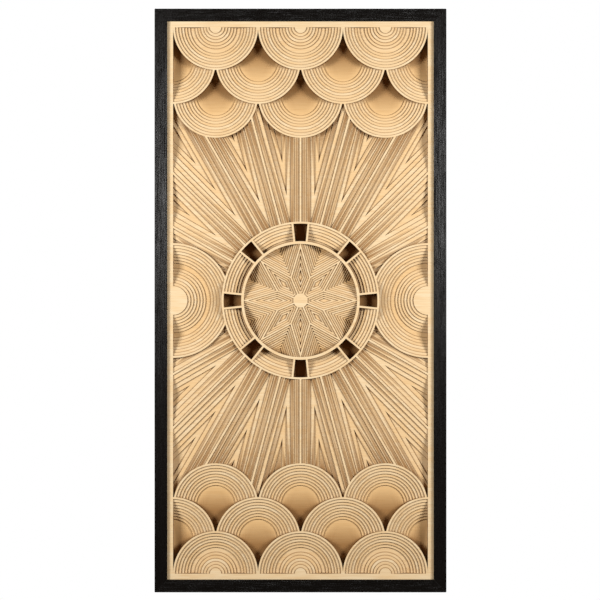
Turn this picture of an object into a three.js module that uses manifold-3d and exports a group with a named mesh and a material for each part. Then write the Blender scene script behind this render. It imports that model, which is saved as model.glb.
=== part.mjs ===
// Framed wall panel: five fretted birch boards stacked on a backing board, in a black mitred frame.
// Every opening gets smaller from the front board to the back one, so the stack reads as a stepped
// relief: scallops at both ends, half suns at the sides, a sunburst, and a star medallion in the middle.
// Millimetres, +Z up, +X to the viewer's right, front towards -Y, origin at the middle of the back face.
import * as THREE from "three";
import { mergeVertices } from "three/addons/utils/BufferGeometryUtils.js";
import Module from "manifold-3d";

// Driving dimensions
const FRAME_WIDTH = 610;
const FRAME_HEIGHT = 1220;
const RAIL_WIDTH = 26.5;
const RABBET = 6;
const LIP = 6.7;
const BORDER = 12;
const BOARD = 5.9;
const GLUE_LINE = 0.1;
const BOARD_COUNT = 5;
const FIT_GAP = 0.5;
const MITRE_GAP = 0.3;

// Sizes that follow from the driving dimensions
const BOARD_PITCH = BOARD + GLUE_LINE;
const STACK_DEPTH = BOARD_PITCH * (BOARD_COUNT + 1);
const LIP_BACK = STACK_DEPTH + MITRE_GAP;
const FRAME_DEPTH = LIP_BACK + LIP;
const SIGHT_WIDTH = FRAME_WIDTH - 2 * RAIL_WIDTH;
const SIGHT_HEIGHT = FRAME_HEIGHT - 2 * RAIL_WIDTH;
const PANEL_WIDTH = SIGHT_WIDTH + 2 * (RABBET - FIT_GAP);
const PANEL_HEIGHT = SIGHT_HEIGHT + 2 * (RABBET - FIT_GAP);
const FIELD_X = SIGHT_WIDTH / 2 - BORDER;
const FIELD_Z = SIGHT_HEIGHT / 2 - BORDER;

// Relief: how wide the rims are, and how far an opening closes in over half a board's thickness
const RIM = 4;
const RIB = 2;
const STEP = 6.2;
const RAY_STEP = 9;
const STAR_RIM = 1.5;
const STAR_STEP = 4.2;

// Scallops: three across, in rows that overlap towards the ends
const SCALLOP_RADIUS = FIELD_X / 3;
const SCALLOP_ROWS = 3;
const ROW_PITCH = 0.8 * SCALLOP_RADIUS;
const SCALLOP_BOSS = 12;

// Half suns at the sides and the medallion in the middle
const SUN_RADIUS = 120;
const SUN_BOSS = 30;
const MEDALLION_RADIUS = 165;
const STAR_CIRCLE = 120;
const STAR_POINTS = 8;
const STAR_TIP = 115;
const STAR_WAIST = 52;
const HUB_RADIUS = 15;
const SLOT_HALF_ANGLE = 6;

// Sunburst: ribs all round, with a stepped valley between each pair
const RIB_COUNT = 24;

// Faceting: the chord aimed at on round edges, how near a corner their points may come, the least distance
// between two points, the smallest opening worth cutting in square millimetres, and the rounding allowed for
const CHORD = 30;
const CROWDED = 6;
const TOO_CLOSE = 0.3;
const SMALLEST_OPENING = 60;
const TOUCH = 1e-4;

function polar(radius, degrees) {
  const angle = THREE.MathUtils.degToRad(degrees);
  return new THREE.Vector2(radius * Math.cos(angle), radius * Math.sin(angle));
}

// What make gives for each number below count, in one list.
const series = (count, make) => Array.from({ length: count }, (_, i) => make(i)).flat();

// An edge of an opening: the side of a line or circle that the opening lies on.
// rim is how far the front board's edge stays back from it, and step how far each half board closes in.
const lineEdge = (normal, offset, rim = 0, step = 0) => ({ normal, offset, rim, step });
const insideCircle = (centre, radius, rim = 0, step = 0) => ({ centre, radius, side: 1, rim, step });
const outsideCircle = (centre, radius, rim = 0, step = 0) => ({ centre, radius, side: -1, rim, step });

// The line from one point to another, with the opening on its left.
function edgeBetween(from, to, rim, step) {
  const along = to.clone().sub(from).normalize();
  const normal = new THREE.Vector2(along.y, -along.x);
  return lineEdge(normal, normal.dot(from), rim, step);
}

// The radius at an angle about the panel's middle, with the opening to its left or right.
function radiusEdge(degrees, left, rim, step) {
  const far = polar(1, degrees);
  const middle = new THREE.Vector2();
  return left ? edgeBetween(middle, far, rim, step) : edgeBetween(far, middle, rim, step);
}

const FIELD_EDGES = [
  lineEdge(new THREE.Vector2(1, 0), FIELD_X),
  lineEdge(new THREE.Vector2(-1, 0), FIELD_X),
  lineEdge(new THREE.Vector2(0, 1), FIELD_Z),
  lineEdge(new THREE.Vector2(0, -1), FIELD_Z),
];

// An edge moved into its opening, after the opening has closed in over a number of half boards.
function closedIn(edge, halfBoards) {
  const inset = edge.rim + edge.step * halfBoards;
  return edge.centre
    ? { ...edge, radius: edge.radius - edge.side * inset }
    : { ...edge, offset: edge.offset - inset };
}

// How far inside an edge a point is.
const room = (edge, point) =>
  edge.centre
    ? edge.side * (edge.radius - point.distanceTo(edge.centre))
    : edge.offset - edge.normal.dot(point);

// Points where a line crosses a circle.
function lineOnCircle(line, circle) {
  const away = line.offset - line.normal.dot(circle.centre);
  const half = Math.sqrt(circle.radius ** 2 - away ** 2);
  const foot = circle.centre.clone().addScaledVector(line.normal, away);
  const along = new THREE.Vector2(-line.normal.y, line.normal.x);
  return half >= 0 ? [-half, half].map((s) => foot.clone().addScaledVector(along, s)) : [];
}

// The corners that two edges make: two circles meet on the line through both crossings.
function crossings(a, b) {
  if (!a.centre && !b.centre) {
    const turn = a.normal.cross(b.normal);
    if (Math.abs(turn) < TOUCH) return [];
    const x = (a.offset * b.normal.y - b.offset * a.normal.y) / turn;
    const y = (b.offset * a.normal.x - a.offset * b.normal.x) / turn;
    return [new THREE.Vector2(x, y)];
  }
  if (a.centre && b.centre) {
    const apart = b.centre.clone().sub(a.centre);
    const distance = apart.length();
    if (distance < TOUCH) return [];
    const reach = (distance ** 2 + a.radius ** 2 - b.radius ** 2) / (2 * distance);
    const normal = apart.divideScalar(distance);
    return lineOnCircle(lineEdge(normal, normal.dot(a.centre) + reach), a);
  }
  return a.centre ? lineOnCircle(b, a) : lineOnCircle(a, b);
}

// The points of one edge that can bound the opening, in the order that keeps the opening on their left:
// its corners, and on a circle the evenly spaced points that don't crowd a corner.
function pointsAlong(edge, corners) {
  if (!edge.centre) {
    const along = new THREE.Vector2(-edge.normal.y, edge.normal.x);
    return corners.sort((p, q) => along.dot(p) - along.dot(q));
  }
  const count = 4 * Math.max(2, Math.round((Math.PI * edge.radius) / (2 * CHORD)));
  const spaced = series(count, (i) => polar(edge.radius, (i * 360) / count).add(edge.centre));
  const clear = spaced.filter((p) => corners.every((corner) => p.distanceTo(corner) > CROWDED));
  const angle = (p) => Math.atan2(p.y - edge.centre.y, p.x - edge.centre.x);
  const round = [...corners, ...clear].sort((p, q) => edge.side * (angle(p) - angle(q)));
  return [...round, round[0]];
}

// The point of an edge half way between two others of it.
function halfWay(edge, from, to) {
  const middle = from.clone().add(to).multiplyScalar(0.5);
  if (!edge.centre) return middle;
  const chord = to.clone().sub(from);
  const outwards = new THREE.Vector2(chord.y, -chord.x).multiplyScalar(edge.side).normalize();
  return edge.centre.clone().addScaledVector(outwards, edge.radius);
}

// The outlines of an opening after it has closed in over a number of half boards: every stretch of an
// edge that no other edge cuts away, joined end to end into loops.
function outlines(opening, halfBoards) {
  const edges = opening.edges.map((edge) => closedIn(edge, halfBoards));
  if (edges.some((edge) => edge.side === 1 && edge.radius < CROWDED)) return [];
  const drawn = edges.filter((edge) => !edge.centre || edge.radius > CROWDED);
  const within = (p, except) => drawn.every((edge) => except.includes(edge) || room(edge, p) > -TOUCH);
  const corners = new Map(drawn.map((edge) => [edge, []]));
  drawn.forEach((edge, i) =>
    drawn.slice(i + 1).forEach((other) =>
      crossings(edge, other)
        .filter((p) => within(p, [edge, other]))
        .forEach((p) => [edge, other].forEach((each) => corners.get(each).push(p))),
    ),
  );
  const stretches = drawn.flatMap((edge) => {
    const points = pointsAlong(edge, corners.get(edge));
    return points
      .slice(1)
      .map((to, i) => ({ from: points[i], to }))
      .filter(({ from, to }) => from !== to && within(halfWay(edge, from, to), [edge]));
  });
  const loops = [];
  while (stretches.length) {
    const first = stretches.pop();
    const loop = [first.from];
    let end = first.to;
    let next = stretches.findIndex(({ from }) => from.distanceTo(end) < TOUCH);
    while (next >= 0) {
      loop.push(end);
      end = stretches.splice(next, 1)[0].to;
      next = stretches.findIndex(({ from }) => from.distanceTo(end) < TOUCH);
    }
    loops.push(loop.filter((p, i) => p.distanceTo(loop.at(i - 1)) > TOO_CLOSE));
  }
  return loops;
}

// The openings of the ornament. Each goes through the boards from its top one back to its bottom one.

function scallopColumns(row) {
  const columns = row % 2 ? [-3, -1, 1, 3] : [-2, 0, 2];
  return columns.map((column) => column * SCALLOP_RADIUS);
}

const scallopHeight = (end, row) => end * (FIELD_Z - row * ROW_PITCH);

// The scallops of the rows in front, which cover part of the ones behind.
function scallopsInFront(end, row, x) {
  const near = (other) => Math.abs(other - x) < 2 * SCALLOP_RADIUS - TOUCH;
  return series(row, (front) =>
    scallopColumns(front)
      .filter(near)
      .map((other) => outsideCircle(new THREE.Vector2(other, scallopHeight(end, front)), SCALLOP_RADIUS)),
  );
}

function scallopOpening(end, row, x) {
  const centre = new THREE.Vector2(x, scallopHeight(end, row));
  return {
    edges: [
      insideCircle(centre, SCALLOP_RADIUS, RIM, STEP),
      ...FIELD_EDGES,
      ...scallopsInFront(end, row, x),
      ...(row ? [] : [outsideCircle(centre, 0, SCALLOP_BOSS, STEP)]),
    ],
    top: BOARD_COUNT,
    bottom: 2,
  };
}

function sunOpening(side) {
  const centre = new THREE.Vector2(side * FIELD_X, 0);
  return {
    edges: [
      insideCircle(centre, SUN_RADIUS, RIM, STEP),
      outsideCircle(new THREE.Vector2(), MEDALLION_RADIUS),
      outsideCircle(centre, 0, SUN_BOSS, STEP),
      ...FIELD_EDGES,
    ],
    top: BOARD_COUNT,
    bottom: 2,
  };
}

// What stands in front of the sunburst: the medallion, the half suns and the scallops, inside the border.
const inFrontOfRays = [
  outsideCircle(new THREE.Vector2(), MEDALLION_RADIUS),
  ...[-1, 1].map((side) => outsideCircle(new THREE.Vector2(side * FIELD_X, 0), SUN_RADIUS)),
  ...[-1, 1].flatMap((end) =>
    series(SCALLOP_ROWS, (row) =>
      scallopColumns(row).map((x) =>
        outsideCircle(new THREE.Vector2(x, scallopHeight(end, row)), SCALLOP_RADIUS),
      ),
    ),
  ),
  ...FIELD_EDGES,
];

// The valley of the sunburst between two ribs.
function valleyOpening(index) {
  const width = 360 / RIB_COUNT;
  return {
    edges: [
      radiusEdge(index * width, true, RIB, RAY_STEP),
      radiusEdge((index + 1) * width, false, RIB, RAY_STEP),
      ...inFrontOfRays,
    ],
    top: BOARD_COUNT,
    bottom: 1,
  };
}

// The ring of the medallion: a deep slot in line with a point of the star, and the stepped cell after it.
function ringOpenings(index) {
  const width = 360 / STAR_POINTS;
  const axis = index * width;
  const centre = new THREE.Vector2();
  const inner = outsideCircle(centre, STAR_CIRCLE, RIM);
  const slot = {
    edges: [
      insideCircle(centre, MEDALLION_RADIUS, RIM),
      inner,
      radiusEdge(axis - SLOT_HALF_ANGLE, true, RIB),
      radiusEdge(axis + SLOT_HALF_ANGLE, false, RIB),
    ],
    top: BOARD_COUNT,
    bottom: 1,
  };
  const cell = {
    edges: [
      insideCircle(centre, MEDALLION_RADIUS, RIM, STEP),
      inner,
      radiusEdge(axis + SLOT_HALF_ANGLE, true, RIB),
      radiusEdge(axis + width - SLOT_HALF_ANGLE, false, RIB),
    ],
    top: BOARD_COUNT,
    bottom: 3,
  };
  return [slot, cell];
}

// A point of the star, and the hollow between it and the next one.
function starOpenings(index) {
  const half = 180 / STAR_POINTS;
  const axis = index * 2 * half;
  const centre = new THREE.Vector2();
  const [tip, nextTip] = [axis, axis + 2 * half].map((degrees) => polar(STAR_TIP, degrees));
  const [right, left] = [axis - half, axis + half].map((degrees) => polar(STAR_WAIST, degrees));
  const kite = {
    edges: [
      radiusEdge(axis - half, true, STAR_RIM, STAR_STEP),
      radiusEdge(axis + half, false, STAR_RIM, STAR_STEP),
      edgeBetween(right, tip, STAR_RIM, STAR_STEP),
      edgeBetween(tip, left, STAR_RIM, STAR_STEP),
      outsideCircle(centre, HUB_RADIUS, 0, STAR_STEP),
    ],
    top: BOARD_COUNT,
    bottom: 4,
  };
  const hollow = {
    edges: [
      edgeBetween(left, tip, STAR_RIM, STAR_STEP),
      edgeBetween(nextTip, left, STAR_RIM, STAR_STEP),
      insideCircle(centre, STAR_CIRCLE, STAR_RIM),
    ],
    top: BOARD_COUNT,
    bottom: 1,
  };
  return [kite, hollow];
}

function allOpenings() {
  const scallops = [-1, 1].flatMap((end) =>
    series(SCALLOP_ROWS, (row) => scallopColumns(row).map((x) => scallopOpening(end, row, x))),
  );
  return [
    ...scallops,
    ...[-1, 1].map(sunOpening),
    ...series(RIB_COUNT, valleyOpening),
    ...series(STAR_POINTS, ringOpenings),
    ...series(STAR_POINTS, starOpenings),
  ];
}

// The boards and the frame

const solids = await Module();
solids.setup();

const birch = () => new THREE.MeshStandardMaterial({ color: 0xe3c08f, roughness: 0.62, metalness: 0 });
const blackStain = () => new THREE.MeshStandardMaterial({ color: 0x1b1918, roughness: 0.55, metalness: 0 });

function rectangle(width, height) {
  const [x, z] = [width / 2, height / 2];
  const corners = [[-x, -z], [x, -z], [x, z], [-x, z]];
  return new THREE.Shape(corners.map(([a, b]) => new THREE.Vector2(a, b)));
}

function toSolid(geometry) {
  const bare = new THREE.BufferGeometry().setAttribute("position", geometry.getAttribute("position"));
  const merged = mergeVertices(bare, TOUCH);
  const vertProperties = merged.getAttribute("position").array;
  const triVerts = new Uint32Array(merged.index.array);
  return new solids.Manifold(new solids.Mesh({ numProp: 3, vertProperties, triVerts }));
}

function toGeometry(solid) {
  const { vertProperties, triVerts } = solid.getMesh();
  const geometry = new THREE.BufferGeometry()
    .setAttribute("position", new THREE.BufferAttribute(vertProperties, 3))
    .setIndex(new THREE.BufferAttribute(triVerts, 1))
    .toNonIndexed();
  geometry.computeVertexNormals();
  return geometry;
}

// A flat shape, drawn as seen from the front, given a thickness between two distances from the wall.
function plate(shape, back, front) {
  return new THREE.ExtrudeGeometry(shape, { depth: front - back, bevelEnabled: false })
    .translate(0, 0, back)
    .rotateX(Math.PI / 2);
}

function boardMesh(name, geometry) {
  const mesh = new THREE.Mesh(geometry, birch());
  mesh.name = name;
  return mesh;
}

// The prisms that cut an opening through a board, taken at the middle of that board's own steps.
function cutters(opening, board, back) {
  return outlines(opening, 2 * (opening.top - board) + 0.5)
    .filter((loop) => Math.abs(THREE.ShapeUtils.area(loop)) > SMALLEST_OPENING)
    .map((loop) => toSolid(plate(new THREE.Shape(loop), back - BOARD, back + 2 * BOARD)));
}

function reliefBoard(board, openings) {
  const back = board * BOARD_PITCH;
  const blank = toSolid(plate(rectangle(PANEL_WIDTH, PANEL_HEIGHT), back, back + BOARD));
  const cuts = openings
    .filter((opening) => board <= opening.top && board >= opening.bottom)
    .flatMap((opening) => cutters(opening, board, back));
  const cut = blank.subtract(solids.Manifold.union(cuts));
  return boardMesh(`relief_board_${board}`, toGeometry(cut));
}

// A frame rail: a rabbeted section carried along the side, its ends cut back to the mitre.
function frameRail(name, length, turn, away) {
  const section = new THREE.Shape(
    [
      [0, 0],
      [RAIL_WIDTH - RABBET, 0],
      [RAIL_WIDTH - RABBET, LIP_BACK],
      [RAIL_WIDTH, LIP_BACK],
      [RAIL_WIDTH, FRAME_DEPTH],
      [0, FRAME_DEPTH],
    ].map(([inward, forward]) => new THREE.Vector2(inward, forward)),
  );
  const geometry = new THREE.ExtrudeGeometry(section, { depth: length, bevelEnabled: false });
  const place = geometry.getAttribute("position");
  for (let i = 0; i < place.count; i++) {
    const inward = place.getX(i);
    const along = place.getZ(i) - length / 2;
    place.setXYZ(i, along - Math.sign(along) * (inward + MITRE_GAP / 2), -place.getY(i), inward - away);
  }
  geometry.computeVertexNormals();
  const mesh = new THREE.Mesh(geometry, blackStain());
  mesh.name = name;
  mesh.rotation.y = turn;
  return mesh;
}

const panel = new THREE.Group();
const openings = allOpenings();
panel.add(boardMesh("backing_board", plate(rectangle(PANEL_WIDTH, PANEL_HEIGHT), 0, BOARD)));
for (let board = 1; board <= BOARD_COUNT; board++) panel.add(reliefBoard(board, openings));
panel.add(frameRail("frame_rail_bottom", FRAME_WIDTH, 0, FRAME_HEIGHT / 2));
panel.add(frameRail("frame_rail_left", FRAME_HEIGHT, Math.PI / 2, FRAME_WIDTH / 2));
panel.add(frameRail("frame_rail_top", FRAME_WIDTH, Math.PI, FRAME_HEIGHT / 2));
panel.add(frameRail("frame_rail_right", FRAME_HEIGHT, -Math.PI / 2, FRAME_WIDTH / 2));

export default panel;
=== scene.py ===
import math

import bpy
import numpy as np
from bpy.props import FloatProperty, FloatVectorProperty, IntProperty, PointerProperty
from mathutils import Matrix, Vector
from mathutils.geometry import delaunay_2d_cdt


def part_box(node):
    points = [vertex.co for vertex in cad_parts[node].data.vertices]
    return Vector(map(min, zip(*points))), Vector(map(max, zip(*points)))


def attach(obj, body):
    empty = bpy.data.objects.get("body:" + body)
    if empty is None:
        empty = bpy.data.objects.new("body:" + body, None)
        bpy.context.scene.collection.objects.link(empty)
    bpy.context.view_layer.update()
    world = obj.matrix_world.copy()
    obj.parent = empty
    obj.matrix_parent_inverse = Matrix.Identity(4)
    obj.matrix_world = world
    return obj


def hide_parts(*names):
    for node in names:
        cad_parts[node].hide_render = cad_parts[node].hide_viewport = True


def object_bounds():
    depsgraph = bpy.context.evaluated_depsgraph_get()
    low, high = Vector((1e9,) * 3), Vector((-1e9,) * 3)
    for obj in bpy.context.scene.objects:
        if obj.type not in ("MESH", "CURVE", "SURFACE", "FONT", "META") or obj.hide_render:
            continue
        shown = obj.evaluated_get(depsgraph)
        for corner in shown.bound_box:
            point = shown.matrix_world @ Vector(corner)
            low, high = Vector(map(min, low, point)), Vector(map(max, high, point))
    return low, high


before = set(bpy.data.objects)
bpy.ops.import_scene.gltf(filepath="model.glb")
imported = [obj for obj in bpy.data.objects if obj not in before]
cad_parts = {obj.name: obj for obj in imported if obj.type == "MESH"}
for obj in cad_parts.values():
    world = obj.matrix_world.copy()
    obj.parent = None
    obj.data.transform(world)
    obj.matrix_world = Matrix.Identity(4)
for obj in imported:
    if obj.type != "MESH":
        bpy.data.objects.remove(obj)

bl_info = {
    "name": "Relief wall panel",
    "version": (1, 0, 0),
    "blender": (4, 5, 0),
    "location": "View3D > Sidebar > Relief panel",
    "description": "Dresses a framed wall panel of stacked fretted boards",
    "category": "Object",
}

CAD_BOX = [list(corner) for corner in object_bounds()]

# Nodes, with the relief boards in order from the back one to the front one
BACKING = "backing_board"
BOARDS = sorted(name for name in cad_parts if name.startswith("relief_board_"))
RAILS = sorted(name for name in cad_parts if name.startswith("frame_rail_"))
FRONT_BOARD = len(BOARDS)

# Every opening starts in the front board. This is the last board that each kind goes through.
SCALLOP_LAST = 2
SUN_LAST = 2
VALLEY_LAST = 1
SLOT_LAST = 1
CELL_LAST = 3
POINT_LAST = 4
HOLLOW_LAST = 1

# Measured on the solids: the boards' outline, the frame's sight opening and the rails' section
PANEL_LOW, PANEL_HIGH = (np.array(corner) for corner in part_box(BACKING))
RAIL_LOW, RAIL_HIGH = (np.array(corner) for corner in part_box("frame_rail_left"))
RAIL_WIDTH = RAIL_HIGH[0] - RAIL_LOW[0]
FRAME_DEPTH = RAIL_HIGH[1] - RAIL_LOW[1]
FRAME_WIDTH = -2 * RAIL_LOW[0]
FRAME_HEIGHT = CAD_BOX[1][2] - CAD_BOX[0][2]
SIGHT_WIDTH = FRAME_WIDTH - 2 * RAIL_WIDTH
SIGHT_HEIGHT = FRAME_HEIGHT - 2 * RAIL_WIDTH
STACK_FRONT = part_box(BOARDS[-1])[0][1]

# Rails: the room beside and in front of the boards, and how far each corner of the section is eased,
# from the outer corner at the wall round to the outer corner in front
SIDE_ROOM = 0.0005
FRONT_ROOM = 0.0003
SECTION_EASE = np.array([0.0008, 0.0004, 0.0003, 0.0006, 0.0010, 0.0016])
ARC_POINTS = 5

# Mitres: the rounding of the frame's outer corners, half a joint's gap, and how far its edges are eased
CORNER_RADIUS = 0.002
JOINT_GAP = 0.00001
JOINT_EASE = 0.0003

# Where a board's two finishes stand in its list of materials
FACE_SLOT = 0
EDGE_SLOT = 1

# Tint of the plies, from 0 for pale to 1 for warm: the two of the backing board, and how the relief's plies
# get warmer with each one further back, which is painted shade of the deep recesses, and by chance, which
# is their own tone
BACK_TINT = 0.2
DEEP_SHADE_TINT = 0.9
SHADE_TINT_BY_DEPTH = 0.07
TINT_BY_CHANCE = 0.35
TINT_SEED = 7

# How far the grain of a ply is moved for its tint, across and up, in metres
GRAIN_SHIFT = {"X": 3.1, "Z": 5.3}

# Lights and camera, in metres
SIDE_LIGHT_SIZE = (0.7, 0.5)
SIDE_LIGHT_PLACE = (1.5, -1.5, 0.34)
SIDE_LIGHT_AIM = (0.0, 0.0, 0.05)
BACK_LIGHT_SIZE = (2.0, 2.0)
BACK_LIGHT_PLACE = (0.0, 2.6, 2.4)
BACK_LIGHT_AIM = (0.0, 0.6, -0.6)
CAMERA_OFFSET = 0.001
PICTURE_SIZE = 600
FRAME_IN_PICTURE = 583.9

# Points nearer than this touch, and ends of runs nearer than this meet, in metres
TOUCH = 1e-7
MEET = 1e-5


class OrnamentSizes(bpy.types.PropertyGroup):
    """Sizes of the cut ornament."""

    border: FloatProperty(
        name="Border", description="Plain strip between the frame and the ornament",
        default=0.012, unit="LENGTH")
    rim: FloatProperty(
        name="Rim", description="Front edge left standing round an opening",
        default=0.004, unit="LENGTH")
    rib: FloatProperty(
        name="Rib", description="Half the width of a rib of the sunburst",
        default=0.002, unit="LENGTH")
    step: FloatProperty(
        name="Step", description="Tread of a step in the scallops, half suns and ring",
        default=0.0062, unit="LENGTH")
    ray_step: FloatProperty(
        name="Ray step", description="Tread of a step in the sunburst",
        default=0.0090, unit="LENGTH")
    star_rim: FloatProperty(
        name="Star rim", description="Front edge left standing round a star opening",
        default=0.0015, unit="LENGTH")
    star_step: FloatProperty(
        name="Star step", description="Tread of a step in and between the points of the star",
        default=0.0042, unit="LENGTH")
    # Width of the line at the foot of a step: painted shade in the corner where the step stands on the
    # tread, with some laser scorch
    scorch_and_shade_line: FloatProperty(
        name="Smoke line", description="Width of the browned line along the foot of a step",
        default=0.0021, unit="LENGTH")
    scallop_rows: IntProperty(
        name="Scallop rows", description="Rows of scallops at each end", default=3, min=1)
    row_pitch: FloatProperty(
        name="Row pitch", description="Distance between rows, in scallop radii", default=0.8)
    scallop_boss: FloatProperty(
        name="Scallop boss", description="Radius of the front step of the boss in an end scallop",
        default=0.012, unit="LENGTH")
    sun_radius: FloatProperty(
        name="Half sun", description="Radius of a half sun", default=0.120, unit="LENGTH")
    sun_boss: FloatProperty(
        name="Sun boss", description="Radius of the front step of a half sun's boss",
        default=0.030, unit="LENGTH")
    medallion_radius: FloatProperty(
        name="Medallion", description="Radius of the medallion", default=0.165, unit="LENGTH")
    star_circle: FloatProperty(
        name="Star circle", description="Radius of the circle round the star",
        default=0.120, unit="LENGTH")
    star_points: IntProperty(
        name="Star points", description="Points of the star", default=8, min=3)
    star_tip: FloatProperty(
        name="Star tip", description="Radius at the tips of the star", default=0.115, unit="LENGTH")
    star_waist: FloatProperty(
        name="Star waist", description="Radius where two points of the star meet",
        default=0.052, unit="LENGTH")
    hub_radius: FloatProperty(
        name="Hub", description="Radius of the hub of the star", default=0.015, unit="LENGTH")
    slot_half_angle: FloatProperty(
        name="Slot", description="Half the angle that a deep slot of the ring takes",
        default=math.radians(6), subtype="ANGLE")
    rib_count: IntProperty(
        name="Ribs", description="Ribs of the sunburst, all round", default=24, min=4)
    chord: FloatProperty(
        name="Chord", description="Longest straight stretch of a round edge",
        default=0.004, unit="LENGTH")


class Finishes(bpy.types.PropertyGroup):
    """Colours of the wood."""

    birch_pale: FloatVectorProperty(
        name="Pale birch", description="Lightest colour of the boards' faces", subtype="COLOR", size=3,
        default=(0.85, 0.695, 0.46))
    birch_warm: FloatVectorProperty(
        name="Warm birch", description="Warmest colour of the boards' faces", subtype="COLOR", size=3,
        default=(0.79, 0.500, 0.215))
    birch_grain: FloatVectorProperty(
        name="Birch grain", description="Colour of the grain lines", subtype="COLOR", size=3,
        default=(0.58, 0.33, 0.12))
    # The cut edges' own browned colour, which is also the colour of the painted shade and scorch at the
    # foot of each step
    cut_edge: FloatVectorProperty(
        name="Cut edge", description="Browned colour of the cut edges", subtype="COLOR", size=3,
        default=(0.245, 0.105, 0.022))
    cut_edge_dark: FloatVectorProperty(
        name="Scorched edge", description="Darkest colour of the cut edges", subtype="COLOR", size=3,
        default=(0.125, 0.048, 0.011))
    stain: FloatVectorProperty(
        name="Black stain", description="Colour of the stained frame", subtype="COLOR", size=3,
        default=(0.0018, 0.0014, 0.0012))
    stain_worn: FloatVectorProperty(
        name="Raised grain", description="Greyer colour of the frame's grain", subtype="COLOR", size=3,
        default=(0.0062, 0.0051, 0.0044))


class StageSettings(bpy.types.PropertyGroup):
    """Floor, light and camera."""

    floor_drop: FloatProperty(
        name="Hanging height", description="Height of the panel's lower edge above the floor",
        default=1.1, unit="LENGTH")
    floor_size: FloatProperty(
        name="Floor size", description="Side of the floor", default=10.0, unit="LENGTH")
    floor_colour: FloatVectorProperty(
        name="Floor colour", description="Colour of the floor", subtype="COLOR", size=3,
        default=(0.80, 0.79, 0.77))
    floor_glow: FloatProperty(
        name="Floor glow", description="Strength of the floor's own light", default=0.55)
    camera_distance: FloatProperty(
        name="Camera distance", description="Distance of the camera from the frame's front",
        default=5.0, unit="LENGTH")
    picture_share: FloatProperty(
        name="Picture share", description="Share of the picture's height that the frame takes",
        default=FRAME_IN_PICTURE / PICTURE_SIZE)
    side_light: FloatProperty(
        name="Side lights", description="Power of each of the two soft side lights in watts", default=37.0)
    back_light: FloatProperty(
        name="Back light", description="Power of the soft light on the back and the floor in watts",
        default=90.0)
    ambient: FloatProperty(
        name="Ambient", description="Strength of the light from all round", default=0.10)
    ambient_colour: FloatVectorProperty(
        name="Ambient colour", description="Colour of the light from all round", subtype="COLOR", size=3,
        default=(1.0, 0.70, 0.42))


class PanelSettings(bpy.types.PropertyGroup):
    """All the settings of the panel."""

    ornament: PointerProperty(type=OrnamentSizes, name="Ornament", description="Sizes of the cut ornament")
    finishes: PointerProperty(type=Finishes, name="Finishes", description="Colours of the wood")
    stage: PointerProperty(type=StageSettings, name="Stage", description="Floor, light and camera")


def settings():
    """The settings kept with the scene."""
    return bpy.context.scene.relief_panel


# Outlines of the cut openings, in the plane of the boards: x to the right and z up.
# An opening is an array of edges. Each edge is the side of a line or a circle that the opening lies on:
# at is the line's normal or the circle's centre, and size the line's offset or the circle's radius.

EDGE = np.dtype([
    ("round", bool), ("at", float, 2), ("size", float), ("side", float), ("rim", float), ("step", float)])


def line_edge(normal, offset, rim=0.0, step=0.0):
    """The points whose distance along the normal is below the offset."""
    return np.array((False, normal, offset, 1.0, rim, step), EDGE)


def inside_circle(centre, radius, rim=0.0, step=0.0):
    """The points nearer to the centre than the radius."""
    return np.array((True, centre, radius, 1.0, rim, step), EDGE)


def outside_circle(centre, radius, rim=0.0, step=0.0):
    """The points further from the centre than the radius."""
    return np.array((True, centre, radius, -1.0, rim, step), EDGE)


def polar(radius, degrees):
    """The point at a radius and an angle about the panel's middle."""
    angle = math.radians(degrees)
    return np.array((radius * math.cos(angle), radius * math.sin(angle)))


def edge_between(start, end, rim, step=0.0):
    """The line from one point to another, with the opening on its left."""
    along = (end - start) / np.linalg.norm(end - start)
    normal = np.array((along[1], -along[0]))
    return line_edge(normal, normal @ start, rim, step)


def radius_edge(degrees, left, rim, step=0.0):
    """The radius at an angle about the panel's middle, with the opening on its left or its right."""
    far = polar(1.0, degrees)
    middle = np.zeros(2)
    return edge_between(middle, far, rim, step) if left else edge_between(far, middle, rim, step)


def closed_in(edges, plies, more):
    """Every edge moved into its opening by its rim and its step for each ply, and the stepped ones more."""
    moved = edges.copy()
    moved["size"] -= edges["side"] * (edges["rim"] + edges["step"] * plies + more * (edges["step"] > 0))
    return moved


def room(edges, points):
    """How far inside each edge each point is: offset less distance along, or radius less distance away."""
    from_centre = np.linalg.norm(points[None] - edges["at"][:, None], axis=2)
    of_circle = edges["side"][:, None] * (edges["size"][:, None] - from_centre)
    of_line = edges["size"][:, None] - edges["at"] @ points.T
    return np.where(edges["round"][:, None], of_circle, of_line)


def line_crossings(a, b):
    """The point where two lines meet, by Cramer's rule on their normals and offsets."""
    turn = a["at"][:, 0] * b["at"][:, 1] - a["at"][:, 1] * b["at"][:, 0]
    return np.stack([
        (a["size"] * b["at"][:, 1] - b["size"] * a["at"][:, 1]) / turn,
        (b["size"] * a["at"][:, 0] - a["size"] * b["at"][:, 0]) / turn,
    ], axis=1)


def circle_crossings(a, b):
    """The two points where a circle meets a line or another circle.

    They lie half a chord each way from the foot of the circle's centre on the line. Two circles meet on the
    line at distance (d*d + r*r - s*s) / 2d from the first one's centre.
    """
    apart = np.linalg.norm(b["at"] - a["at"], axis=1)
    between = (b["at"] - a["at"]) / apart[:, None]
    reach = (apart**2 + a["size"]**2 - b["size"]**2) / (2 * apart)
    both_round = a["round"] & b["round"]
    normal = np.where(a["round"][:, None], b["at"], a["at"])
    normal = np.where(both_round[:, None], between, normal)
    offset = np.where(a["round"], b["size"], a["size"])
    offset = np.where(both_round, (between * a["at"]).sum(axis=1) + reach, offset)
    centre = np.where(a["round"][:, None], a["at"], b["at"])
    radius = np.where(a["round"], a["size"], b["size"])
    away = offset - (normal * centre).sum(axis=1)
    half_chord = np.sqrt(radius**2 - away**2)[:, None]
    foot = centre + normal * away[:, None]
    along = np.stack([-normal[:, 1], normal[:, 0]], axis=1)
    return foot + along * half_chord, foot - along * half_chord


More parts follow.
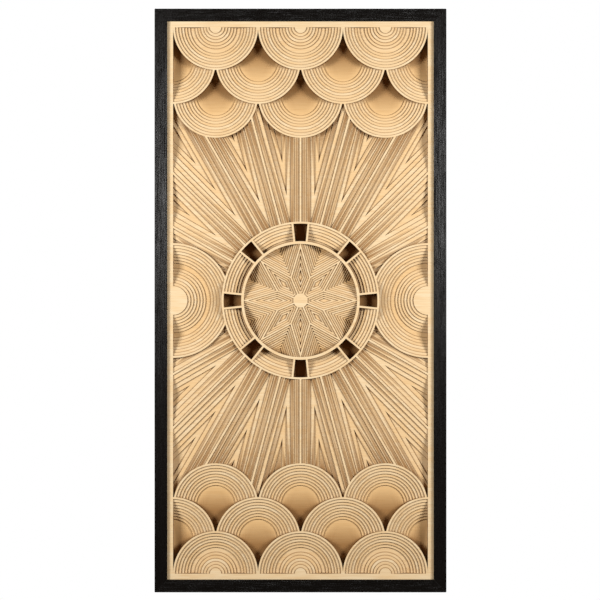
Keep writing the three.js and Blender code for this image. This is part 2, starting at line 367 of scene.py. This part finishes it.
def crossings(edges):
    """Corners of the opening: the numbers of the two edges that meet, and the point."""
    first, second = np.triu_indices(len(edges), 1)
    a, b = edges[first], edges[second]
    straight = ~(a["round"] | b["round"])[:, None]
    with np.errstate(all="ignore"):
        one, other = circle_crossings(a, b)
        one = np.where(straight, line_crossings(a, b), one)
        other = np.where(straight, np.nan, other)
    pairs = np.tile(np.stack([first, second], axis=1), (2, 1))
    points = np.concatenate([one, other])
    real = np.isfinite(points).all(axis=1) & (np.abs(points) < FRAME_HEIGHT).all(axis=1)
    pairs, points = pairs[real], points[real]
    clear = room(edges, points)
    clear[pairs.T, np.arange(len(points))] = 0.0
    inside = (clear > -TOUCH).all(axis=0)
    return pairs[inside], points[inside]


def round_pieces(edge, corners, chord):
    """A circle cut at its corners and at evenly spaced points: each piece's start, end and middle."""
    count = 4 * max(8, round(math.pi * edge["size"] / (2 * chord)))
    angles = np.arange(count) * 2 * math.pi / count
    spaced = edge["at"] + edge["size"] * np.stack([np.cos(angles), np.sin(angles)], axis=1)
    if len(corners):
        gap = np.linalg.norm(spaced[:, None] - corners[None], axis=2).min(axis=1)
        spaced = spaced[gap > chord / 4]
    points = np.concatenate([corners, spaced])
    turn = np.arctan2(points[:, 1] - edge["at"][1], points[:, 0] - edge["at"][0])
    order = np.argsort(edge["side"] * turn, kind="stable")
    points, turn = points[order], turn[order]
    sweep = (np.roll(turn, -1) - turn) * edge["side"] % (2 * math.pi) * edge["side"]
    middle = turn + sweep / 2
    halfway = edge["at"] + edge["size"] * np.stack([np.cos(middle), np.sin(middle)], axis=1)
    return points, np.roll(points, -1, axis=0), halfway


def straight_pieces(edge, corners):
    """A line cut at its corners: each piece's start, end and middle."""
    along = np.array((-edge["at"][1], edge["at"][0]))
    points = corners[np.argsort(corners @ along, kind="stable")]
    return points[:-1], points[1:], (points[:-1] + points[1:]) / 2


def stretches(edges, number, corners, chord):
    """The stretches of one edge that bound the opening, each a run of points with the opening on its left.

    A piece of the edge bounds the opening where its middle is inside every other edge.
    """
    edge = edges[number]
    starts, ends, halfway = (
        round_pieces(edge, corners, chord) if edge["round"] else straight_pieces(edge, corners))
    bounds = (room(np.delete(edges, number), halfway) > -TOUCH).all(axis=0)
    if edge["round"] and bounds.all():
        return [np.concatenate([starts, starts[:1]])]
    if not edge["round"]:
        bounds = np.append(bounds, False)
    runs = []
    for start in np.flatnonzero(bounds & ~np.roll(bounds, 1)):
        length = np.argmin(np.roll(bounds, -start))
        picked = (start + np.arange(length)) % len(bounds)
        runs.append(np.concatenate([starts[picked], ends[picked[-1:]]]))
    return runs


def outlines(edges, plies, chord, more=0.0):
    """The loops that bound an opening after it has closed in over a number of plies."""
    moved = closed_in(edges, plies, more)
    shut = moved["round"] & (moved["size"] < chord)
    if (shut & (moved["side"] > 0)).any():
        return []
    moved = moved[~shut]
    pairs, points = crossings(moved)
    runs = []
    for number in range(len(moved)):
        mine = (pairs == number).any(axis=1)
        runs += stretches(moved, number, points[mine], chord)
    runs = [run for run in runs if np.linalg.norm(np.diff(run, axis=0), axis=1).sum() > MEET]
    return [loop for loop in joined(runs, chord) if len(loop) > 2 and loop_area(loop) > chord**2]


def joined(runs, reach):
    """Runs joined into loops: each run is followed by the one that starts nearest to its end."""
    loops = []
    while runs:
        loop = runs.pop()
        while runs and np.linalg.norm(loop[-1] - loop[0]) > MEET:
            gaps = [np.linalg.norm(run[0] - loop[-1]) for run in runs]
            nearest = int(np.argmin(gaps))
            if gaps[nearest] > reach:
                break
            loop = np.concatenate([loop, runs.pop(nearest)[1:]])
        loops.append(loop[:-1])
    return loops


def loop_area(loop):
    """Half the sum of the cross products of neighbouring points."""
    following = np.roll(loop, -1, axis=0)
    return 0.5 * (loop[:, 0] * following[:, 1] - loop[:, 1] * following[:, 0]).sum()


class Ornament:
    """The openings of the panel, each as its edges and the last board that it goes through."""

    def __init__(self, sizes):
        self.sizes = sizes
        self.half_width = SIGHT_WIDTH / 2 - sizes.border
        self.half_height = SIGHT_HEIGHT / 2 - sizes.border
        self.scallop = self.half_width / 3
        self.middle = np.zeros(2)
        self.suns = [np.array((side * self.half_width, 0.0)) for side in (-1, 1)]
        self.field = [
            line_edge((1, 0), self.half_width), line_edge((-1, 0), self.half_width),
            line_edge((0, 1), self.half_height), line_edge((0, -1), self.half_height),
        ]

    def scallop_centres(self, end, row):
        """The centres of a row, three or four across, the rows counted from the end of the panel."""
        columns = (-3, -1, 1, 3) if row % 2 else (-2, 0, 2)
        height = end * (self.half_height - row * self.sizes.row_pitch * self.scallop)
        return [np.array((column * self.scallop, height)) for column in columns]

    def scallops(self):
        """Stepped discs, each covered by the rows nearer to the end. The first row has bosses."""
        sizes = self.sizes
        for end in (-1, 1):
            for row in range(sizes.scallop_rows):
                in_front = [c for front in range(row) for c in self.scallop_centres(end, front)]
                for centre in self.scallop_centres(end, row):
                    near = [c for c in in_front if abs(c[0] - centre[0]) < 2 * self.scallop - TOUCH]
                    edges = [inside_circle(centre, self.scallop, sizes.rim, sizes.step), *self.field]
                    edges += [outside_circle(c, self.scallop) for c in near]
                    if row == 0:
                        edges.append(outside_circle(centre, 0.0, sizes.scallop_boss, sizes.step))
                    yield np.stack(edges), SCALLOP_LAST

    def half_suns(self):
        """Stepped half discs with bosses, which the medallion covers in part."""
        sizes = self.sizes
        for centre in self.suns:
            yield np.stack([
                inside_circle(centre, sizes.sun_radius, sizes.rim, sizes.step),
                outside_circle(self.middle, sizes.medallion_radius),
                outside_circle(centre, 0.0, sizes.sun_boss, sizes.step),
                *self.field,
            ]), SUN_LAST

    def in_front_of_rays(self):
        """The edges of what covers the sunburst."""
        sizes = self.sizes
        rows = [(end, row) for end in (-1, 1) for row in range(sizes.scallop_rows)]
        scallops = [centre for end, row in rows for centre in self.scallop_centres(end, row)]
        return [
            outside_circle(self.middle, sizes.medallion_radius),
            *(outside_circle(sun, sizes.sun_radius) for sun in self.suns),
            *(outside_circle(centre, self.scallop) for centre in scallops),
            *self.field,
        ]

    def sunburst(self):
        """The stepped valleys between the ribs."""
        sizes = self.sizes
        in_front = self.in_front_of_rays()
        width = 360 / sizes.rib_count
        for valley in range(sizes.rib_count):
            yield np.stack([
                radius_edge(valley * width, True, sizes.rib, sizes.ray_step),
                radius_edge((valley + 1) * width, False, sizes.rib, sizes.ray_step),
                *in_front,
            ]), VALLEY_LAST

    def ring(self):
        """Deep slots in line with the points of the star, and the stepped cells between them."""
        sizes = self.sizes
        width = 360 / sizes.star_points
        slot = math.degrees(sizes.slot_half_angle)
        inner = outside_circle(self.middle, sizes.star_circle, sizes.rim)
        for point in range(sizes.star_points):
            axis = point * width
            yield np.stack([
                inside_circle(self.middle, sizes.medallion_radius, sizes.rim),
                inner,
                radius_edge(axis - slot, True, sizes.rib),
                radius_edge(axis + slot, False, sizes.rib),
            ]), SLOT_LAST
            yield np.stack([
                inside_circle(self.middle, sizes.medallion_radius, sizes.rim, sizes.step),
                inner,
                radius_edge(axis + slot, True, sizes.rib),
                radius_edge(axis + width - slot, False, sizes.rib),
            ]), CELL_LAST

    def star(self):
        """The points of the star, and the hollows between them."""
        sizes = self.sizes
        half = 180 / sizes.star_points
        inset = (sizes.star_rim, sizes.star_step)
        for point in range(sizes.star_points):
            axis = 2 * half * point
            tip, next_tip = (polar(sizes.star_tip, angle) for angle in (axis, axis + 2 * half))
            right, left = (polar(sizes.star_waist, angle) for angle in (axis - half, axis + half))
            yield np.stack([
                radius_edge(axis - half, True, *inset),
                radius_edge(axis + half, False, *inset),
                edge_between(right, tip, *inset),
                edge_between(tip, left, *inset),
                outside_circle(self.middle, sizes.hub_radius, 0.0, sizes.star_step),
            ]), POINT_LAST
            yield np.stack([
                edge_between(left, tip, *inset),
                edge_between(next_tip, left, *inset),
                inside_circle(self.middle, sizes.star_circle, sizes.star_rim),
            ]), HOLLOW_LAST

    def openings(self):
        """All the openings, group by group."""
        for group in (self.scallops, self.half_suns, self.sunburst, self.ring, self.star):
            yield from group()


def holes_in(openings, number, upper):
    """The outlines of all openings in a board's upper or lower ply."""
    chord = settings().ornament.chord
    plies = 2 * (FRONT_BOARD - number) + 1 - upper
    return [loop for edges, last in openings if number >= last for loop in outlines(edges, plies, chord)]


def feet_on(openings, number, upper):
    """Where the steps of the ply in front stand on a ply, and the lines where the painted shade and scorch
    at their feet ends.
    """
    sizes = settings().ornament
    plies = 2 * (FRONT_BOARD - number) - upper
    cut = [edges for edges, last in openings if 0 <= plies <= 2 * (FRONT_BOARD - last) + 1]
    feet = [loop for edges in cut for loop in outlines(edges, plies, sizes.chord)]
    lines = [loop for edges in cut for loop in outlines(edges, plies, sizes.chord, sizes.scorch_and_shade_line)]
    return feet, lines


# Meshes of the boards


class Surface:
    """Vertices, faces and their values, gathered sheet by sheet."""

    def __init__(self):
        self.points = []
        self.scorch_and_shade = []
        self.faces = []
        self.slots = []
        self.tints = []
        self.count = 0

    def add_points(self, points, scorch_and_shade):
        """Adds points with how much painted shade and scorch each one has, and gives the number of the
        first.
        """
        first = self.count
        self.points.append(points)
        self.scorch_and_shade.append(scorch_and_shade)
        self.count += len(points)
        return first

    def add_faces(self, faces, slot, tint):
        """Adds faces with their material slot and the tint of their ply."""
        self.faces += faces.tolist()
        self.slots.append(np.full(len(faces), slot, np.int32))
        self.tints.append(np.full(len(faces), tint, np.float32))

    def mesh(self, name):
        """The mesh of everything gathered, with its tints and its painted shade and scorch as attributes.
        """
        data = bpy.data.meshes.new(name)
        data.from_pydata(np.concatenate(self.points).tolist(), [], self.faces)
        data.polygons.foreach_set("material_index", np.concatenate(self.slots))
        tint = data.attributes.new("ply_tint", "FLOAT", "FACE")
        tint.data.foreach_set("value", np.concatenate(self.tints))
        scorch_and_shade = data.attributes.new("scorch_and_shade", "FLOAT", "POINT")
        scorch_and_shade.data.foreach_set("value", np.concatenate(self.scorch_and_shade).astype(np.float32))
        data.validate()
        data.update()
        return data


def rectangle(low, high):
    """The four corners of a rectangle, anticlockwise as seen from the front."""
    return np.array([(low[0], low[2]), (high[0], low[2]), (high[0], high[2]), (low[0], high[2])])


def in_space(flat, depth):
    """Points of the boards' plane set at a depth."""
    return np.stack([flat[:, 0], np.full(len(flat), depth), flat[:, 1]], axis=1)


def sheet(outline, holes, feet, lines):
    """Triangles of an outline less its holes, with their points and how much painted shade and scorch each
    point has.

    The feet of the steps in front are drawn on the sheet, and a little inside them the lines where their
    painted shade and scorch ends. It runs evenly from one to the other: painted shade in the corner at the
    foot of a step, with some laser scorch.
    """
    loops = [outline, *holes, *feet, *lines]
    ends = np.cumsum([len(loop) for loop in loops])
    numbers = [np.arange(end - len(loop), end) for loop, end in zip(loops, ends)]
    flat = np.concatenate(loops).tolist()
    made = delaunay_2d_cdt([Vector(point) for point in flat], [], [n.tolist() for n in numbers], 1, TOUCH)
    corners, _, triangles, origins, _, within = made
    spots = np.array([tuple(corner) for corner in corners])
    place = np.zeros(len(flat), int)
    for spot, sources in enumerate(origins):
        place[list(sources)] = spot
    cut_away = set(range(1, len(holes) + 1))
    kept = [0 in inside and cut_away.isdisjoint(inside) for inside in within]
    wood = np.array(triangles)[kept]
    scorch_and_shade = np.zeros(len(spots))
    for foot in numbers[1 + len(holes):1 + len(holes) + len(feet)]:
        scorch_and_shade[place[foot]] = 1.0
    return spots, wood, scorch_and_shade


def free_edges(triangles):
    """Start and end points of the edges that no neighbouring triangle runs the other way along."""
    edges = np.concatenate([triangles[:, [0, 1]], triangles[:, [1, 2]], triangles[:, [2, 0]]])
    forth = edges @ np.array((edges.max() + 1, 1))
    back = edges @ np.array((1, edges.max() + 1))
    return edges[~np.isin(forth, back)].T


def add_ply(surface, outline, holes, feet, lines, back, front, tint):
    """One ply: the same sheet in front and behind, and a cut edge carried from one to the other."""
    spots, wood, scorch_and_shade = sheet(outline, holes, feet, lines)
    ahead = surface.add_points(in_space(spots, front), scorch_and_shade)
    behind = surface.add_points(in_space(spots, back), np.zeros(len(spots)))
    start, end = free_edges(wood)
    cut_edge = np.stack([end + ahead, start + ahead, start + behind, end + behind], axis=1)
    surface.add_faces(wood + ahead, FACE_SLOT, tint)
    surface.add_faces(wood[:, ::-1] + behind, FACE_SLOT, tint)
    surface.add_faces(cut_edge, EDGE_SLOT, tint)


# Meshes of the rails


def eased_section(corners, radii):
    """A closed section with rounded corners: each corner's arc runs from one tangent point to the other.

    The tangent points lie the radius away from a right-angled corner along its two sides, and the arc's
    centre lies the radius away along both at once.
    """
    before = np.roll(corners, 1, axis=0) - corners
    after = np.roll(corners, -1, axis=0) - corners
    before /= np.linalg.norm(before, axis=1)[:, None]
    after /= np.linalg.norm(after, axis=1)[:, None]
    turn = np.linspace(0, math.pi / 2, ARC_POINTS)
    centre = corners + (before + after) * radii[:, None]
    arcs = (
        centre[:, None]
        - after[:, None] * radii[:, None, None] * np.cos(turn)[None, :, None]
        - before[:, None] * radii[:, None, None] * np.sin(turn)[None, :, None]
    )
    return arcs.reshape(-1, 2)


def rail_section():
    """The rail's eased section, as distances in from the outer face and forward from the wall."""
    inner = PANEL_LOW[0] + FRAME_WIDTH / 2 - SIDE_ROOM
    lip = FRONT_ROOM - STACK_FRONT
    corners = np.array([
        (0, 0), (inner, 0), (inner, lip), (RAIL_WIDTH, lip), (RAIL_WIDTH, FRAME_DEPTH), (0, FRAME_DEPTH)])
    return eased_section(corners, SECTION_EASE)


def rail_stations():
    """The stations of a rail from end to end: which end, how far pulled in, stopped short and drawn in.

    The outer face follows the frame's rounded corner. At angle t to the rail it is pulled in by
    r (1 - cos t) and stops r (cos t - sin t) short of the mitre. The stations at the joint are drawn in a
    little, which leaves it as a fine groove.
    """
    turn = np.linspace(math.pi / 4, 0, ARC_POINTS)
    end = np.ones(ARC_POINTS)
    pull = CORNER_RADIUS * (1 - np.cos(turn))
    stop = CORNER_RADIUS * (np.cos(turn) - np.sin(turn)) + JOINT_GAP
    ease = np.where(turn == turn[0], JOINT_EASE, 0.0)
    one_end = np.stack([-end, pull, stop, ease])
    other_end = np.stack([end, pull, stop, ease])[:, ::-1]
    return np.concatenate([one_end, other_end], axis=1)[:, :, None]


def rail_mesh(node, low, high):
    """A rail: its section carried from mitre to mitre.

    A point of the section stops short of the rail's end by its distance in from the outer face. The map of
    the grain runs along the rail and round its section, in metres, and the strip that closes the section
    takes it up to the full distance round.
    """
    upright = high[2] - low[2] > high[0] - low[0]
    half_length = (FRAME_HEIGHT if upright else FRAME_WIDTH) / 2
    section = rail_section()
    ahead = np.roll(section, -1, axis=0) - np.roll(section, 1, axis=0)
    outwards = np.stack([ahead[:, 1], -ahead[:, 0]], axis=1) / np.linalg.norm(ahead, axis=1)[:, None]
    end, pull, stop, ease = rail_stations()
    across = np.maximum(section[:, 0] - outwards[:, 0] * ease, pull)
    forward = outwards[:, 1] * ease - section[:, 1]
    along = end * (half_length - np.maximum(section[:, 0], pull) - stop)
    if upright:
        outer = low[0] if low[0] < 0 else high[0]
        side = np.sign(outer)
        points = np.stack([outer - side * across, forward, -side * along], axis=2)
    else:
        outer = low[2] if low[2] < 0 else high[2]
        side = np.sign(outer)
        points = np.stack([side * along, forward, outer - side * across], axis=2)
    rows, columns = along.shape
    index = np.arange(rows * columns).reshape(rows, columns)
    after = np.roll(index, -1, axis=1)
    quads = np.stack([index[:-1], index[1:], after[1:], after[:-1]], axis=2).reshape(-1, 4)
    ends = [index[0].tolist(), index[-1, ::-1].tolist()]
    data = bpy.data.meshes.new(node)
    data.from_pydata(points.reshape(-1, 3).tolist(), [], [*quads.tolist(), *ends])
    lengths = np.linalg.norm(np.roll(section, -1, axis=0) - section, axis=1)
    around = np.concatenate([[0], np.cumsum(lengths)])
    corner = np.empty(len(data.loops), np.int32)
    data.loops.foreach_get("vertex_index", corner)
    round_section = np.tile(around[:-1], rows)[corner]
    round_section[:quads.size].reshape(rows - 1, columns, 4)[:, -1, 2:] = around[-1]
    grain = np.stack([along.reshape(-1)[corner], round_section], axis=1)
    data.uv_layers.new(name="grain").data.foreach_set("uv", grain.reshape(-1).astype(np.float32))
    data.validate()
    data.update()
    return data


def new_piece(name, data, materials, node):
    """Adds a finished piece that stands for a node, at the origin, riding on the one body."""
    piece = bpy.data.objects.new(name, data)
    bpy.context.collection.objects.link(piece)
    for material in materials:
        data.materials.append(material)
    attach(piece, "root")
    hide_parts(node)


# Materials


class Nodes:
    """A material's node tree, with short ways to add and join nodes."""

    def __init__(self, name):
        self.material = bpy.data.materials.new(name)
        self.material.use_nodes = True
        self.tree = self.material.node_tree
        self.shader = self.tree.nodes["Principled BSDF"]

    def add(self, kind, **values):
        node = self.tree.nodes.new(kind)
        for key, value in values.items():
            setattr(node, key, value)
        return node

    def link(self, output, socket):
        self.tree.links.new(output, socket)

    def set(self, node, **values):
        """Sets a node's inputs by name, with underscores for spaces."""
        for key, value in values.items():
            node.inputs[key.replace("_", " ")].default_value = value

    def coordinates(self, scale, shift=None, source="Object"):
        """Coordinates moved by a value where one is given, and stretched."""
        place = self.add("ShaderNodeTexCoord").outputs[source]
        if shift is not None:
            moved = self.add("ShaderNodeVectorMath", operation="ADD")
            self.link(place, moved.inputs[0])
            self.link(shift, moved.inputs[1])
            place = moved.outputs[0]
        mapping = self.add("ShaderNodeMapping")
        self.set(mapping, Scale=scale)
        self.link(place, mapping.inputs["Vector"])
        return mapping.outputs["Vector"]

    def noise(self, vector, scale=1.0, detail=2.0, roughness=0.5, distortion=0.0):
        """Cloudy noise, from 0 to 1."""
        node = self.add("ShaderNodeTexNoise")
        self.set(node, Scale=scale, Detail=detail, Roughness=roughness, Distortion=distortion)
        self.link(vector, node.inputs["Vector"])
        return node.outputs["Fac"]

    def spread(self, value, low, high, to_low=0.0, to_high=1.0):
        """A value taken from one range to another, held at the ends."""
        node = self.add("ShaderNodeMapRange")
        self.set(node, From_Min=low, From_Max=high, To_Min=to_low, To_Max=to_high)
        self.link(value, node.inputs["Value"])
        return node.outputs["Result"]

    def mix(self, factor, first, second):
        """Two colours mixed by the output of another node. Each is a colour or an output."""
        node = self.add("ShaderNodeMix", data_type="RGBA")
        self.link(factor, node.inputs[0])
        for value, socket in ((first, node.inputs[6]), (second, node.inputs[7])):
            if isinstance(value, bpy.types.NodeSocket):
                self.link(value, socket)
            else:
                socket.default_value = (*value, 1.0)
        return node.outputs[2]

    def bump(self, height, strength, distance):
        """Roughens the surface by a height from 0 to 1, which stands for a distance in metres."""
        node = self.add("ShaderNodeBump")
        self.set(node, Strength=strength, Distance=distance)
        self.link(height, node.inputs["Height"])
        self.link(node.outputs["Normal"], self.shader.inputs["Normal"])


def ply_shift(nodes):
    """The tint of each ply, and a move of its grain to another place, so that no two sheets are alike."""
    tint = nodes.add("ShaderNodeAttribute", attribute_name="ply_tint").outputs["Fac"]
    shift = nodes.add("ShaderNodeCombineXYZ")
    for axis, reach in GRAIN_SHIFT.items():
        along = nodes.add("ShaderNodeMath", operation="MULTIPLY")
        along.inputs[1].default_value = reach
        nodes.link(tint, along.inputs[0])
        nodes.link(along.outputs[0], shift.inputs[axis])
    return tint, shift.outputs[0]


def birch_face():
    """Pale birch with the grain across: broad figure, fine fibres, a tint for each ply that is warmer
    further back as painted shade, and painted shade with scorch at the foot of each step.
    """
    colours = settings().finishes
    nodes = Nodes("birch_face")
    tint, shift = ply_shift(nodes)
    across = nodes.coordinates((0.14, 1.0, 1.0), shift)
    figure = nodes.noise(across, scale=75.0, detail=3.0, roughness=0.6, distortion=0.8)
    long_across = nodes.coordinates((0.04, 1.0, 1.0), shift)
    fibres = nodes.noise(long_across, scale=420.0, detail=4.0, roughness=0.65)
    base = nodes.mix(tint, colours.birch_pale, colours.birch_warm)
    figured = nodes.mix(nodes.spread(figure, 0.35, 0.70, to_high=0.50), base, colours.birch_warm)
    grained = nodes.mix(nodes.spread(fibres, 0.45, 0.75, to_high=0.45), figured, colours.birch_grain)
    # Painted shade in the corner at the foot of each step, with some laser scorch, in the cut edges' colour
    scorch_and_shade = nodes.add("ShaderNodeAttribute", attribute_name="scorch_and_shade").outputs["Fac"]
    scorched_and_shaded = nodes.mix(nodes.spread(scorch_and_shade, 0.0, 1.0, to_high=0.85), grained, colours.cut_edge)
    nodes.link(scorched_and_shaded, nodes.shader.inputs["Base Color"])
    nodes.set(nodes.shader, Roughness=0.58, Specular_IOR_Level=0.30)
    nodes.bump(fibres, strength=0.25, distance=0.0003)
    return nodes.material


def birch_edge():
    """Cut edge of a ply: browned veneers with darker glue lines and uneven scorching."""
    colours = settings().finishes
    nodes = Nodes("birch_edge")
    veneers = nodes.add("ShaderNodeTexWave", wave_type="BANDS", bands_direction="Y", wave_profile="SIN")
    nodes.set(veneers, Scale=330.0)
    nodes.link(nodes.coordinates((1.0, 1.0, 1.0)), veneers.inputs["Vector"])
    glue_lines = nodes.spread(veneers.outputs["Fac"], 0.0, 1.0, to_high=0.55)
    layered = nodes.mix(glue_lines, colours.cut_edge, colours.cut_edge_dark)
    scorch = nodes.noise(nodes.coordinates((1.0, 0.2, 1.0)), scale=60.0, detail=3.0)
    scorched = nodes.mix(nodes.spread(scorch, 0.4, 0.75, to_high=0.6), layered, colours.cut_edge_dark)
    nodes.link(scorched, nodes.shader.inputs["Base Color"])
    nodes.set(nodes.shader, Roughness=0.75, Specular_IOR_Level=0.2)
    return nodes.material


def black_stain():
    """Open-grained wood stained black: grooves along the rail, a little greyer and duller in specks."""
    colours = settings().finishes
    nodes = Nodes("black_stain")
    pores = nodes.noise(nodes.coordinates((60.0, 1600.0, 1.0), source="UV"), detail=4.0, roughness=0.65)
    speckle = nodes.noise(nodes.coordinates((380.0, 480.0, 1.0), source="UV"), detail=3.0, roughness=0.7)
    bands = nodes.noise(nodes.coordinates((3.0, 90.0, 1.0), source="UV"), detail=3.0)
    grooves = nodes.noise(nodes.coordinates((9.0, 1500.0, 1.0), source="UV"))
    grey = nodes.mix(nodes.spread(pores, 0.42, 0.68), colours.stain, colours.stain_worn)
    speckled = nodes.mix(nodes.spread(speckle, 0.5, 0.8, to_high=0.5), grey, colours.stain_worn)
    toned = nodes.mix(nodes.spread(bands, 0.4, 0.7, to_high=0.5), speckled, colours.stain)
    nodes.link(toned, nodes.shader.inputs["Base Color"])
    nodes.link(nodes.spread(speckle, 0.3, 0.7, to_low=0.18, to_high=0.42), nodes.shader.inputs["Roughness"])
    nodes.set(nodes.shader, Specular_IOR_Level=0.17)
    nodes.bump(grooves, strength=0.9, distance=0.0006)
    return nodes.material


def birch_materials():
    """The face and edge finishes, made once and shared by the boards."""
    face = bpy.data.materials.get("birch_face") or birch_face()
    edge = bpy.data.materials.get("birch_edge") or birch_edge()
    return [face, edge]


# Stage


def pale_floor(values):
    """A pale sheet with a little light of its own, which doesn't colour the panel above it."""
    half = values.floor_size / 2
    height = CAD_BOX[0][2] - values.floor_drop
    corners = [(-half, -half, height), (half, -half, height), (half, half, height), (-half, half, height)]
    data = bpy.data.meshes.new("floor")
    data.from_pydata(corners, [], [(0, 1, 2, 3)])
    floor = bpy.data.objects.new("floor", data)
    bpy.context.collection.objects.link(floor)
    floor.visible_diffuse = False
    floor.visible_glossy = False
    nodes = Nodes("floor")
    colour = (*values.floor_colour, 1.0)
    nodes.set(
        nodes.shader, Base_Color=colour, Roughness=0.8, Emission_Color=colour,
        Emission_Strength=values.floor_glow)
    data.materials.append(nodes.material)


def soft_light(name, power, size, place, aim):
    """A rectangular light that faces a point."""
    light = bpy.data.lights.new(name, "AREA")
    light.energy = power
    light.shape = "RECTANGLE"
    light.size, light.size_y = size
    lamp = bpy.data.objects.new(name, light)
    lamp.location = place
    lamp.rotation_euler = (Vector(aim) - lamp.location).to_track_quat("-Z", "Y").to_euler()
    bpy.context.collection.objects.link(lamp)


def white_room(values):
    """White where the camera looks past the object, and a softer even light on it."""
    world = bpy.data.worlds.new("white_room")
    bpy.context.scene.world = world
    world.use_nodes = True
    tree = world.node_tree
    seen = tree.nodes.new("ShaderNodeBackground")
    seen.inputs["Color"].default_value = (1, 1, 1, 1)
    lights = tree.nodes["Background"]
    lights.inputs["Color"].default_value = (*values.ambient_colour, 1.0)
    lights.inputs["Strength"].default_value = values.ambient
    path = tree.nodes.new("ShaderNodeLightPath")
    pick = tree.nodes.new("ShaderNodeMixShader")
    tree.links.new(path.outputs["Is Camera Ray"], pick.inputs[0])
    tree.links.new(lights.outputs[0], pick.inputs[1])
    tree.links.new(seen.outputs[0], pick.inputs[2])
    tree.links.new(pick.outputs[0], tree.nodes["World Output"].inputs["Surface"])


def front_camera(values):
    """Square on to the panel: the lens makes the frame's height its share of a square picture."""
    lens = bpy.data.cameras.new("front_camera")
    lens.lens = lens.sensor_width * values.picture_share * values.camera_distance / FRAME_HEIGHT
    camera = bpy.data.objects.new("front_camera", lens)
    camera.location = (-CAMERA_OFFSET, -FRAME_DEPTH - values.camera_distance, CAMERA_OFFSET)
    camera.rotation_euler = (math.pi / 2, 0.0, 0.0)
    bpy.context.collection.objects.link(camera)
    bpy.context.scene.camera = camera


# Operators: one for each piece or group of pieces and one for the stage


class RELIEF_PANEL_OT_backing_board(bpy.types.Operator):
    """Makes the plain board that closes the back and shows in the deepest openings"""

    bl_idname = "relief_panel.backing_board"
    bl_label = "Backing board"

    def execute(self, context):
        surface = Surface()
        outline = rectangle(PANEL_LOW, PANEL_HIGH)
        back, middle, front = np.linspace(PANEL_HIGH[1], PANEL_LOW[1], 3)
        feet, lines = feet_on(Ornament(settings().ornament).openings(), number=0, upper=1)
        add_ply(surface, outline, [], [], [], back, middle, BACK_TINT)
        # The front ply is the deepest floor: warm as painted shade of the deepest openings, with painted
        # shade and scorch at the feet of the steps
        add_ply(surface, outline, [], feet, lines, middle, front, DEEP_SHADE_TINT)
        new_piece("backing", surface.mesh("backing"), birch_materials(), BACKING)
        return {"FINISHED"}


class RELIEF_PANEL_OT_relief_boards(bpy.types.Operator):
    """Makes the five fretted boards, each of two plies, so that the relief falls in ten steps"""

    bl_idname = "relief_panel.relief_boards"
    bl_label = "Relief boards"

    def execute(self, context):
        openings = list(Ornament(settings().ornament).openings())
        depth = np.arange(2 * FRONT_BOARD)[::-1].reshape(FRONT_BOARD, 2)
        chance = np.random.default_rng(TINT_SEED).random(depth.shape)
        # Plies warmer further back are painted shade of the recesses; the chance part is the plies' own
        # tone
        tints = np.clip(SHADE_TINT_BY_DEPTH * depth + TINT_BY_CHANCE * chance, 0, 1)
        for number, node in enumerate(BOARDS, start=1):
            low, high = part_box(node)
            outline = rectangle(low, high)
            depths = np.linspace(high[1], low[1], 3)
            surface = Surface()
            for upper in (0, 1):
                holes = holes_in(openings, number, upper)
                feet, lines = feet_on(openings, number, upper)
                tint = tints[number - 1, upper]
                add_ply(surface, outline, holes, feet, lines, depths[upper], depths[upper + 1], tint)
            name = f"relief_{number}"
            new_piece(name, surface.mesh(name), birch_materials(), node)
        return {"FINISHED"}


class RELIEF_PANEL_OT_frame_rails(bpy.types.Operator):
    """Makes the four mitred rails of the frame"""

    bl_idname = "relief_panel.frame_rails"
    bl_label = "Frame rails"

    def execute(self, context):
        finish = black_stain()
        for node in RAILS:
            data = rail_mesh(node, *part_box(node))
            new_piece(node.replace("frame_rail", "rail"), data, [finish], node)
        return {"FINISHED"}


class RELIEF_PANEL_OT_stage(bpy.types.Operator):
    """Sets the pale floor, the soft lights, the light all round and the camera"""

    bl_idname = "relief_panel.stage"
    bl_label = "Stage"

    def execute(self, context):
        values = settings().stage
        pale_floor(values)
        x, y, z = SIDE_LIGHT_PLACE
        for name, place in (("left_light", (-x, y, z)), ("right_light", (x, y, z))):
            soft_light(name, values.side_light, SIDE_LIGHT_SIZE, place, SIDE_LIGHT_AIM)
        soft_light("back_light", values.back_light, BACK_LIGHT_SIZE, BACK_LIGHT_PLACE, BACK_LIGHT_AIM)
        white_room(values)
        front_camera(values)
        context.scene.view_settings.view_transform = "Standard"
        return {"FINISHED"}


class RELIEF_PANEL_PT_sidebar(bpy.types.Panel):
    """Lists the steps that make the panel, and its settings"""

    bl_label = "Relief panel"
    bl_space_type = "VIEW_3D"
    bl_region_type = "UI"
    bl_category = "Relief panel"

    def draw(self, context):
        for operator in OPERATORS:
            self.layout.operator(operator.bl_idname)
        for group in (settings().ornament, settings().finishes, settings().stage):
            box = self.layout.box()
            for name in group.__annotations__:
                box.prop(group, name)


OPERATORS = (
    RELIEF_PANEL_OT_backing_board,
    RELIEF_PANEL_OT_relief_boards,
    RELIEF_PANEL_OT_frame_rails,
    RELIEF_PANEL_OT_stage,
)
CLASSES = (OrnamentSizes, Finishes, StageSettings, PanelSettings, *OPERATORS, RELIEF_PANEL_PT_sidebar)


def register():
    for each in CLASSES:
        bpy.utils.register_class(each)
    bpy.types.Scene.relief_panel = PointerProperty(type=PanelSettings)


def unregister():
    del bpy.types.Scene.relief_panel
    for each in reversed(CLASSES):
        bpy.utils.unregister_class(each)


def main():
    register()
    bpy.ops.relief_panel.backing_board()
    bpy.ops.relief_panel.relief_boards()
    bpy.ops.relief_panel.frame_rails()
    bpy.ops.relief_panel.stage()


if __name__ == "__main__":
    main()
